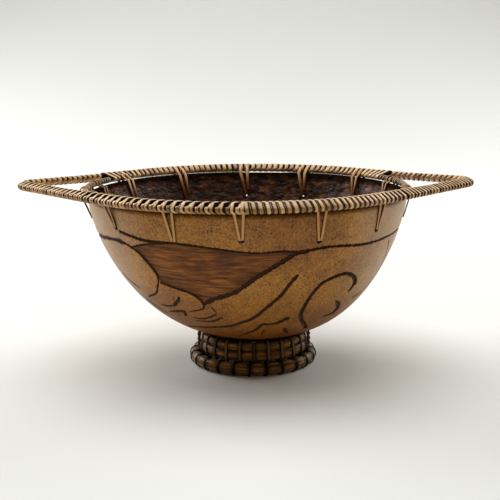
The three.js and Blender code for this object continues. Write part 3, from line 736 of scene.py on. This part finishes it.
def lay_turns(start, end, winding):
    """Turns of a winding between two runs, each with its run, width, depth, dip, tone and lean."""
    pitch, lean, pattern = winding
    count = round((end - start) / (pitch * mm))
    turns = []
    for n in range(count):
        for place, width, sink, dips, tones in pattern:
            run = start + (end - start) * (n + place) / count + chance.uniform(-turn_slip, turn_slip)
            wide = width * chance.uniform(*width_range) * mm
            turns.append((run, wide, sink * mm, dips, chance.uniform(*tones), np.array(lean) * mm))
    return turns


def taut(circles, facing):
    """Point where a taut band round circles in a section faces a way, as radius and height."""
    c, s = math.cos(facing), math.sin(facing)
    x, y, r = max(circles, key=lambda circle: circle[0] * c + circle[1] * s + circle[2])
    return x + r * c, y + r * s


# A turn that dips leaves the outer cane and meets the inner one at these facings. Between them it lies by a
# share in the groove, half-way between two points on the canes
dip_leaves, dip_meets, dip_share = 80, 115, 0.65
groove_outer, groove_inner = math.radians(95), math.radians(40)


def dipped(circles, degree):
    """The same for a turn that dips between the inner and the outer cane, the last two circles."""
    if degree < 0:
        return taut(circles, math.radians(degree))
    if degree < dip_leaves:
        return taut(circles[-1:], math.radians(degree))
    if degree > dip_meets:
        return taut(circles[:-1], math.radians(degree))
    (x0, y0), (x1, y1) = taut(circles[-1:], groove_outer), taut(circles[-2:-1], groove_inner)
    x2, y2 = taut(circles, math.radians(degree))
    return (dip_share * (x0 + x1) / 2 + (1 - dip_share) * x2,
            dip_share * (y0 + y1) / 2 + (1 - dip_share) * y2)


# Section of a strip: flat underneath, rounded skin, in shares of its width and thickness. Its marks are 1 on
# the edges, half on the shoulders and 0 on the skin
strip_section = [(-0.5, -0.5), (0.5, -0.5), (0.5, 0.0), (0.41, 0.32), (0.17, 0.5), (-0.17, 0.5),
                 (-0.41, 0.32), (-0.5, 0.0)]
section_marks = [1.0, 1.0, 1.0, 0.5, 0.0, 0.0, 0.5, 1.0]


def lay_strip(places, across, widths, thickness):
    """Strip with a rounded skin through the places, lying flat along across at each bend.
    Gives its points, faces, marks of its edges and its lie along its length."""
    p, widths = np.array(places), np.array(widths)
    ahead = np.roll(p, -1, 0) - np.roll(p, 1, 0)
    ahead[0], ahead[-1] = p[1] - p[0], p[-1] - p[-2]
    ahead /= np.linalg.norm(ahead, axis=1)[:, None]
    face = np.cross(ahead, across)
    slant = np.linalg.norm(face, axis=1)[:, None]
    face /= slant
    wide = np.array(across) / slant * widths[:, None]
    run = np.concatenate([[0], np.cumsum(np.linalg.norm(np.diff(p, axis=0), axis=1))])
    points = np.stack([p + wide * x + face * y * thickness for x, y in strip_section], 1)
    rim = np.tile(section_marks, len(p))
    lie = np.stack([np.stack([widths * x, np.full(len(p), y * thickness), run], -1)
                    for x, y in strip_section], 1)
    return points.reshape(-1, 3), tube_faces(len(p), len(strip_section), False), rim, lie.reshape(-1, 3)


def rim_section(angle, out):
    """Canes across the rim at an angle: the pair leaves the ring along the handles' straight arms."""
    from_side = abs(math.pi / 2 - abs(angle) % math.pi)
    past = max(0.0, arm_angle - from_side)
    canes = ((inner_place, inner_cane), (outer_place, outer_cane))
    pair = [(x / math.cos(past), y, r + out) for (x, y), r in canes]
    return [(ring_radius, ring_level(angle), ring_cane + out), *pair]


# Facings in degrees at which a turn is laid, and over a turn the share of the way to the next one and the
# share of its depth
turn_facings = np.arange(-110, 250, 18)
advance_facing, advance_share = [-110, 60, 170, 250], [0, 0.06, 0.3, 1]
sink_facing, sink_share = [-110, -60, 200, 250], [0, 1, 1, 0]


def wind(name, node, turns, section, finish):
    """One strip through all its turns; section gives origin, outward way and canes at a run."""
    places, across, widths, tones = [], [], [], []
    runs = [turn[0] for turn in turns]
    for (run, wide, sink, dips, tone, lean), ahead in zip(turns, [*runs[1:], 2 * runs[-1] - runs[-2]]):
        for degree in turn_facings:
            at = run + (ahead - run) * np.interp(degree, advance_facing, advance_share)
            _, way, _ = section(at)
            at += np.interp(degree, lean_facing, lean) * np.clip(-lean_swing * way[1], -1, 1)
            base, way, circles = section(at)
            deep = sink * np.interp(degree, sink_facing, sink_share)
            circles = [(x, y, r - deep) for x, y, r in circles]
            r, z = dipped(circles, degree) if dips else taut(circles, math.radians(degree))
            place = base + way * r
            places.append(place + np.array([0, 0, z + handle_rise(place)]))
            across.append(np.cross(way, (0, 0, 1)))
            widths.append(wide)
            tones.append(tone)
    points, faces, rim, lie = lay_strip(places, across, widths, strip_thickness)
    piece = add_piece(name, points, faces, finish, rim=rim, grain=lie,
                      tone=np.repeat(tones, len(strip_section)))
    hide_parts(node)


def rattan(name, dark, middle, pale, edge_shade, wear_and_top_light, roughness, shine=0.35):
    """Split rattan: ridged skin, edges in painted shade, each turn of its own tone, paler on top from wear
    and a painted highlight.
    """
    finish, shader = new_finish(name)
    lines = strip_grain(finish, 1, 3, (5200, 5200, 160))
    spots = strip_grain(finish, 1, 2, (900, 900, 300))
    turn_tone, strip_edge = attribute(finish, "tone"), attribute(finish, "rim")
    colour = shades(finish, turn_tone, (0.0, dark), (0.45, middle), (1.0, pale))
    facing = add_node(finish, "ShaderNodeSeparateXYZ")
    join(finish, add_node(finish, "ShaderNodeNewGeometry").outputs["Normal"], facing.inputs["Vector"])
    # Wear and painted highlight: the tops paler where the light from above falls on them
    on_top = band(finish, facing.outputs["Z"], 0.2, 0.95, 0, 0.75)
    wear_and_top_light_share = times(finish, on_top, band(finish, turn_tone, 0.1, 0.5))
    colour = over(finish, colour, wear_and_top_light, wear_and_top_light_share)
    colour = over(finish, colour, edge_shade, band(finish, lines, 0.54, 0.76, 0, 0.35))
    colour = over(finish, colour, edge_shade, band(finish, spots, 0.62, 0.76, 0, 0.4))
    # Painted shade on the strip's edges and shoulders
    colour = over(finish, colour, edge_shade, band(finish, strip_edge, 0.1, 0.85, 0, 0.95))
    join(finish, colour, shader.inputs["Base Color"])
    shader.inputs["Roughness"].default_value = roughness
    join(finish, band(finish, strip_edge, 0.1, 0.85, shine, 0.04), shader.inputs["Specular IOR Level"])
    relief(finish, shader, lines, 0.15 * mm, 0.6)
    return finish


binding_finish = rattan("split_rattan", (0.030, 0.013, 0.005), (0.36, 0.158, 0.038), (0.85, 0.49, 0.17),
                        (0.006, 0.002, 0.001), (1.0, 0.70, 0.40), 0.26, shine=0.6)
end_finish = rattan("worn_thin_rattan", (0.05, 0.027, 0.013), (0.24, 0.125, 0.052), (0.48, 0.29, 0.13),
                    (0.010, 0.005, 0.003), (0.60, 0.42, 0.25), 0.45)


def rim_wind(name, node, middle, fork, first_half, second_half):
    """Winding over all three canes, from one fork over the middle to the other."""
    half = (fork - fork_gap / 2) * pair_radius

    def section(run):
        angle = middle + run / pair_radius
        return np.zeros(3), outward(angle), rim_section(angle, strip_out)

    turns = lay_turns(-half, 0, first_half) + lay_turns(0, half, second_half)
    wind(name, node, turns, section, binding_finish)


def end_wind(name, node, middle, first_fork, last_fork):
    """Winding over the ring alone, between the forks of a handle."""
    first, last = [(math.pi / 2 - fork - fork_gap / 2) * ring_radius for fork in (first_fork, last_fork)]

    def section(run):
        angle = middle + run / ring_radius
        return np.zeros(3), outward(angle), rim_section(angle, strip_out)[:1]

    wind(name, node, lay_turns(-first, last, ring_end), section, end_finish)


def handle_wind(name, node, side, front_winding, back_winding):
    """Winding over the pair, from the front fork round the tip to the back fork."""
    arm = tip_centre * math.sin(arm_angle)
    bend = arm_angle * tip_radius
    front, back = [arm + bend - pair_radius * math.tan(fork + fork_gap / 2 - (math.pi / 2 - arm_angle))
                   for fork in (fork_angle, back_fork)]

    def section(run):
        turn = np.clip(run / tip_radius, -arm_angle, arm_angle)
        way = np.array([side * math.cos(turn), side * math.sin(turn), 0])
        tangent = np.array([-side * math.sin(turn), side * math.cos(turn), 0])
        past = max(0.0, abs(run) - bend) * (1 if run > 0 else -1)
        base = np.array([side * tip_centre, 0, 0]) + way * tip_radius + tangent * past
        inner = (inner_place[0] - pair_radius, inner_place[1] - inner_fall(base), inner_cane + strip_out)
        outer = (outer_place[0] - pair_radius, outer_place[1], outer_cane + strip_out)
        return base, way, [inner, outer]

    halves = [(front, front_winding), (back, back_winding)]
    if side < 0:
        halves.reverse()
    turns = lay_turns(-halves[0][0], 0, halves[0][1]) + lay_turns(0, *halves[1])
    wind(name, node, turns, section, binding_finish)


rim_wind("front_winding", "front_binding", 0, fork_angle, left_rim, right_rim)
rim_wind("back_winding", "back_binding", math.pi, back_fork, back_rim, back_rim_left)
end_wind("right_ring_winding", "right_rim_binding", math.pi / 2, fork_angle, back_fork)
end_wind("left_ring_winding", "left_rim_binding", -math.pi / 2, back_fork, fork_angle)
handle_wind("right_handle_winding", "right_handle_binding", 1, right_handle, right_handle_back)
handle_wind("left_handle_winding", "left_handle_binding", -1, left_handle, left_handle_back)

# Rim lashings
# Fourteen narrow strips of split rattan hold the bound canes down. Each comes out through its hole, goes
# up under the band and between its canes, down inside and out again, twice, so that it shows a narrow V
# outside and inside. At the handles, where the ring is alone, it goes loosely over the ring.
front_width, back_width = 1.25 * mm, 1.6 * mm
lashing_thickness, lashing_lift = 0.5 * mm, 0.3 * mm
lashing_angles = [-2, 24, 50, 80, 106, 128, 155, 181, 209, 237.5, 259, 277, 308.5, 335.5]
# The two strands pass the hole side by side, spread on the way up and draw in a little at the brim
strand_pass, hole_play = 0.5 * mm, 0.1 * mm
lashing_spread, spread_range, brim_spread = 1.6 * mm, (0.85, 1.12), 0.95
between_canes = [(65.75, 71.75), (65.9, 72.9), (65, 73.75), (63.8, 74.5)]  # radius and height in mm
ring_clear, brim_radius, brim_clear = 0.4 * mm, 61 * mm, 0.1 * mm
# Over the ring alone: the facings in degrees where a strand lies round it, and its slack outside
ring_facings, slack, slack_end = np.linspace(-15, 190, 10), 0.9 * mm, 60
# Both ends lie inside, the first below its hole and the last above it, as in, up and aside
first_end, last_end, end_share = (0.1 * mm, -1.8 * mm, 0.5 * mm), (0.4 * mm, 2.5 * mm, -1.2 * mm), 0.75
lashing_finish = rattan("lashing_rattan", (0.37, 0.143, 0.034), (0.51, 0.220, 0.060), (0.65, 0.330, 0.110),
                        (0.02, 0.008, 0.002), (0.88, 0.55, 0.25), 0.42)
for number, (degree, (hole_degree, hole_drop)) in enumerate(zip(lashing_angles, lashing_holes), 1):
    angle = math.radians(degree)
    way, aside = outward(angle), outward(angle + math.pi / 2)
    inner_hole = hole_place(hole_degree, hole_drop * mm, nut_wall)
    outer_hole = hole_place(hole_degree, hole_drop * mm, 0)
    hole_inside = inner_hole @ way - lashing_lift
    hole_outside = outer_hole @ way + lashing_lift
    drift = outer_hole @ aside
    height = outer_hole[2]
    level = ring_level(angle)
    ring_wound = ring_cane + strip_out + strip_thickness
    if abs(math.sin(angle)) > math.sin(fork_angle):
        loose = ring_wound + np.interp(ring_facings, [ring_facings[0], slack_end], [slack, 0])
        over_canes = [(ring_radius + reach * math.cos(facing), level + reach * math.sin(facing))
                      for facing, reach in zip(np.radians(ring_facings), loose)]
    else:
        over_canes = [(r * mm, z * mm) for r, z in between_canes]
        over_canes.append((ring_radius - ring_wound, level + ring_clear))
    brim = (brim_radius + nut_shift * way[0] - lashing_lift, rim_height + edge_rise(degree) + brim_clear)
    spread = lashing_spread * chance.uniform(*spread_range)
    route = [(hole_inside - first_end[0], height + first_end[1], drift + first_end[2])]
    for side in (1, -1):
        route.append((hole_inside, height - hole_play, drift + side * strand_pass))
        route.append((hole_outside, height + hole_play, drift + side * strand_pass))
        route += [(r, z, side * spread) for r, z in over_canes]
        route.append((*brim, side * spread * brim_spread))
    route.append((hole_inside - last_end[0], height + last_end[1], drift + last_end[2]))
    places = [way * r + aside * s + np.array([0, 0, z]) for r, z, s in route]
    wide = back_width if way[1] > 0 else front_width
    widths = [wide * end_share, *[wide] * (len(route) - 2), wide * end_share]
    points, faces, rim, lie = lay_strip(places, [-aside] * len(route), widths, lashing_thickness)
    lashing = add_piece(f"lashing_{number:02d}", points, faces, lashing_finish, rim=rim, grain=lie,
                        tone=np.full(len(points), chance.random()))
    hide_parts(f"rim_lashing_{number:02d}")

# Foot canes
# A thick base ring and two thinner hoops above it, bent from cane that is stained dark brown and glossy
# from handling. The stitches draw them in a little, so they bulge between, and beside the stitches they
# are darkened with dirt and painted shade.
stitches = 24
base_place, lower_place, upper_place = (23.7 * mm, 2.80 * mm), (20.7 * mm, 7.3 * mm), (20.4 * mm, 11.15 * mm)
base_radius, lower_radius, upper_radius = 2.35 * mm, 1.75 * mm, 1.55 * mm
base_tall, lower_tall, upper_tall = 1.06, 1.3, 1.15
base_shift = 0.8  # share of a stitch by which the turns on the base ring stand off those on the hoops
base_pinch, hoop_pinch, pinch_power = 0.3 * mm, 0.2 * mm, 3
grime_and_shade_share, grime_and_shade_power = 0.9, 2.5
foot_steps, foot_sides = 288, 18

foot_shades = (0.3, (0.030, 0.011, 0.002)), (0.5, (0.15, 0.063, 0.012)), (0.72, (0.42, 0.210, 0.052))
foot_stain, grime_and_shade_black = (0.016, 0.008, 0.003), (0.006, 0.003, 0.0015)
foot_finish, foot_shader = new_finish("stained_foot_cane")
foot_lines = strip_grain(foot_finish, 1, 4, (1500, 1500, 45))
foot_patch = strip_grain(foot_finish, 1, 2, (150, 150, 110))
foot_colour = shades(foot_finish, foot_lines, *foot_shades)
stain_share = band(foot_finish, foot_patch, 0.45, 0.7, 0, 0.75)
foot_colour = over(foot_finish, foot_colour, foot_stain, stain_share)
# Dirt and painted shade: the canes darker where the stitches draw them in
foot_colour = over(foot_finish, foot_colour, grime_and_shade_black, attribute(foot_finish, "grime_and_shade"))
join(foot_finish, foot_colour, foot_shader.inputs["Base Color"])
join(foot_finish, band(foot_finish, foot_patch, 0.3, 0.7, 0.28, 0.45), foot_shader.inputs["Roughness"])
foot_shader.inputs["Specular IOR Level"].default_value = 0.2
foot_shader.inputs["Specular Tint"].default_value = (1.0, 0.72, 0.42, 1)
relief(foot_finish, foot_shader, foot_lines, 0.25 * mm, 0.6)

foot_turn = np.arange(foot_steps) * 2 * math.pi / foot_steps
foot_ways = [outward(angle) for angle in foot_turn]
for name, node, centre, (radius, height), thick, shift, pinch, tall in (
    ("foot_ring", "foot_base_ring", base_centre, base_place, base_radius, base_shift, base_pinch, base_tall),
    ("foot_hoop_lower", "foot_lower_hoop", hoop_centre, lower_place, lower_radius, 0, hoop_pinch, lower_tall),
    ("foot_hoop_upper", "foot_upper_hoop", hoop_centre, upper_place, upper_radius, 0, hoop_pinch, upper_tall),
):
    centres = [way * radius + np.array([centre, 0, height]) for way in foot_ways]
    draw = 0.5 + 0.5 * np.cos((foot_turn / (2 * math.pi) * stitches - shift) * 2 * math.pi)
    radii = thick - pinch * draw**pinch_power
    hoop = bent_cane(name, centres, foot_ways, radii, foot_finish, sides=foot_sides, tall=tall)
    # Dirt and painted shade, strongest where the stitches pinch the canes
    grime_and_shade = hoop.data.attributes.new("grime_and_shade", "FLOAT", "POINT")
    grime_and_shade.data.foreach_set("value", np.repeat(grime_and_shade_share * draw**grime_and_shade_power, foot_sides))
    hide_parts(node)

# Foot stitching
# One strip of dark split rattan sews the three foot canes together: up inside, over the upper hoop, down
# outside, in behind the base ring, round it and up to the next stitch. It is worn flat where it stands.
stitch_width, base_turn_width, stitch_thickness = 1.15 * mm, 0.75 * mm, 0.45 * mm
stitch_clear = 0.05 * mm
stitch_finish = rattan("stained_stitch_rattan", (0.010, 0.005, 0.002), (0.075, 0.036, 0.011),
                       (0.19, 0.105, 0.036), (0.006, 0.003, 0.001), (0.14, 0.085, 0.038), 0.5, shine=0.12)
foot_canes = {"base": (base_centre, *base_place, base_radius, base_tall),
              "lower": (hoop_centre, *lower_place, lower_radius, lower_tall),
              "upper": (hoop_centre, *upper_place, upper_radius, upper_tall)}
# The strip's way in one stitch: the cane it lies on, the side of it in degrees and the share of the stitch
stitch_route = [("lower", 185, 0), ("upper", 175, 0), ("upper", 145, 0), ("upper", 115, 0), ("upper", 85, 0),
                ("upper", 55, 0), ("upper", 25, 0), ("upper", -5, 0), ("lower", 5, 0), ("lower", -20, 0.02),
                ("base", 128, 0.12), ("base", 160, 0.24), ("base", 195, 0.38), ("base", 230, 0.52),
                ("base", 260, 0.65), ("base", 290, 0.75), ("base", 320, 0.8), ("base", 345, 0.8),
                ("base", 370, 0.8), ("base", 395, 0.8), ("base", 420, 0.8), ("base", 445, 0.81),
                ("base", 470, 0.84), ("base", 500, 0.88), ("base", 530, 0.93)]
stitch_tones, base_tone = (0.2, 1), 0.0
places, across, tones, widths = [], [], [], []
for stitch in range(stitches):
    tone = chance.uniform(*stitch_tones)
    for cane, facing, share in stitch_route:
        centre, x, y, r, tall = foot_canes[cane]
        facing = math.radians(facing)
        reach = r + stitch_clear + stitch_thickness / 2
        angle = (stitch + share) / stitches * 2 * math.pi
        height = max(y + reach * tall * math.sin(facing), stitch_thickness / 2)
        places.append(outward(angle) * (x + reach * math.cos(facing)) + np.array([centre, 0, height]))
        across.append(outward(angle + math.pi / 2))
        tones.append(tone if cane != "base" else base_tone)
        widths.append(stitch_width if cane != "base" else base_turn_width)
points, faces, rim, lie = lay_strip(places, across, widths, stitch_thickness)
points[:, 2] = np.maximum(points[:, 2], 0)
stitching = add_piece("foot_stitches", points, faces, stitch_finish, rim=rim, grain=lie,
                      tone=np.repeat(tones, len(strip_section)))
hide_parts("foot_stitching")

# Foot ties
# Two ties at either side, each of two thin rattan strands twisted together. They go round both hoops and
# through holes in the shell's bottom, and so hold the foot to the bowl.
tie_strand, tie_lay, tie_twists = 0.34 * mm, 0.30 * mm, 9
tie_sides, tie_step = 8, 0.35 * mm
tie_bend, tie_clear = 0.7 * mm, 0.8 * mm
hoop_facings = np.radians([180, 215, 245, 270, 295, 325, 360])
tie_edge = 0.2  # how far a round strand takes the edge shade of a flat strip
tie_finish = rattan("tie_rattan", (0.10, 0.055, 0.025), (0.17, 0.10, 0.045), (0.26, 0.165, 0.08),
                    (0.03, 0.015, 0.007), (0.30, 0.20, 0.11), 0.45)


def hollow_height(radius):
    """Height of the shell's inside at a radius."""
    share = 1 - (radius / (rim_radius - nut_wall)) ** nut_belly
    return rim_height - (nut_depth - nut_wall) * share ** (1 / nut_shoulder)


inner, outer = tie_radii
inner_top, outer_top = [hollow_height(radius) + tie_clear for radius in tie_radii]
reach = lower_radius + tie_strand + tie_lay
tie_loop = [(lower_place[0] + reach * math.cos(facing),
             lower_place[1] + lower_tall * reach * math.sin(facing)) for facing in hoop_facings]
tie_loop += [(outer, outer_top - tie_bend), (outer - tie_bend, outer_top),
             (inner + tie_bend, inner_top), (inner, inner_top - tie_bend)]
fine = []
for (r0, z0), (r1, z1) in zip(tie_loop, tie_loop[1:] + tie_loop[:1]):
    steps = max(2, round(math.hypot(r1 - r0, z1 - z0) / tie_step))
    fine += [(r0 + (r1 - r0) * s / steps, z0 + (z1 - z0) * s / steps) for s in range(steps)]
tie_line = np.array(fine)
ahead = np.roll(tie_line, -1, 0) - np.roll(tie_line, 1, 0)
ahead /= np.linalg.norm(ahead, axis=1)[:, None]
tie_normal = np.stack([ahead[:, 1], -ahead[:, 0]], -1)
tie_twist = np.linspace(0, 2 * math.pi * tie_twists, len(tie_line), endpoint=False)
for number, degree in enumerate(tie_angles, 1):
    angle = math.radians(degree)
    way, aside = outward(angle), outward(angle + math.pi / 2)
    points, faces, lie = [], [], []
    for strand in (0, math.pi):
        first = len(points)
        for (r, z), (nr, nz), turn in zip(tie_line, tie_normal, tie_twist):
            side, lift = tie_lay * math.cos(turn + strand), tie_lay * math.sin(turn + strand)
            middle = way * (r + nr * lift) + aside * side + np.array([hoop_centre, 0, z + nz * lift])
            out = way * nr + np.array([0, 0, nz])
            for k in range(tie_sides):
                spin = -2 * math.pi * k / tie_sides
                points.append(middle + tie_strand * (math.cos(spin) * out + math.sin(spin) * aside))
                lie.append((tie_strand * math.cos(spin), tie_strand * math.sin(spin), turn * mm))
        strand_faces = tube_faces(len(tie_line), tie_sides, True)
        faces += [tuple(first + v for v in face) for face in strand_faces]
    tie = add_piece(f"foot_tie_{number}_strands", points, faces, tie_finish, grain=lie,
                    rim=np.full(len(points), tie_edge), tone=np.full(len(points), chance.random()))
    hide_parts(f"foot_tie_{number}")

# Studio
# A pale seamless sheet under and behind the bowl, a broad soft light overhead, a weaker one behind it at
# each side, a faint warm light all round, and the camera a little above the rim.
sheet_half, sheet_front, sheet_back, sheet_bend, sheet_top = 2.6, -1.6, 0.7, 1.0, 2.4
bend_turn = np.linspace(0, math.pi / 2, 16)[1:]
bow = [(0.0, sheet_front), (0.0, sheet_back)]
bow += [(sheet_bend * (1 - math.cos(a)), sheet_back + sheet_bend * math.sin(a)) for a in bend_turn]
bow.append((sheet_top, sheet_back + sheet_bend))
sheet_mesh = bpy.data.meshes.new("paper_sheet")
sheet_mesh.from_pydata([(x, y, z) for z, y in bow for x in (-sheet_half, sheet_half)], [],
                       [(2 * i, 2 * i + 1, 2 * i + 3, 2 * i + 2) for i in range(len(bow) - 1)])
sheet_mesh.shade_smooth()
paper, paper_shader = new_finish("pale_paper")
paper_shader.inputs["Base Color"].default_value = (0.765, 0.775, 0.75, 1)
paper_shader.inputs["Roughness"].default_value = 0.9
sheet_mesh.materials.append(paper)
sheet = bpy.data.objects.new("paper_sheet", sheet_mesh)
bpy.context.scene.collection.objects.link(sheet)


def soft_light(name, place, aim, size, power):
    """A round soft light that shines at its aim."""
    lamp = bpy.data.lights.new(name, "AREA")
    lamp.shape, lamp.size, lamp.energy = "DISK", size, power
    light = bpy.data.objects.new(name, lamp)
    light.location = place
    light.rotation_euler = (Vector(aim) - Vector(place)).to_track_quat("-Z", "Y").to_euler()
    bpy.context.scene.collection.objects.link(light)


soft_light("light_above", (-0.05, 0.1, 1.6), (0, -0.15, 0), 1.6, 18.3)
soft_light("light_left", (-0.9, 0.6, 0.6), (0, 0, 0.05), 0.9, 11.5)
soft_light("light_right", (0.9, 0.6, 0.6), (0, 0, 0.05), 0.9, 7.4)
world = bpy.data.worlds.new("studio")
world.use_nodes = True
all_round = world.node_tree.nodes["Background"]
all_round.inputs["Color"].default_value = (1.0, 0.91, 0.74, 1)
all_round.inputs["Strength"].default_value = 0.16
bpy.context.scene.world = world
bpy.context.scene.view_settings.view_transform = "Standard"

camera_place = (1.5 * mm, -400 * mm, 121.9 * mm)
camera_pitch, camera_roll = math.radians(10.67), math.radians(0.48)
sight = Vector((0, math.cos(camera_pitch), -math.sin(camera_pitch)))
level, rise = Vector((1, 0, 0)), Vector((0, math.sin(camera_pitch), math.cos(camera_pitch)))
right = level * math.cos(camera_roll) - rise * math.sin(camera_roll)
above = rise * math.cos(camera_roll) + level * math.sin(camera_roll)
lens = bpy.data.cameras.new("camera")
lens.lens, lens.sensor_width = 71.06, 36
lens.clip_start, lens.clip_end = 0.01, 20
camera = bpy.data.objects.new("camera", lens)
camera.matrix_world = Matrix((right, above, -sight)).transposed().to_4x4()
camera.location = camera_place
bpy.context.scene.collection.objects.link(camera)
bpy.context.scene.camera = camera
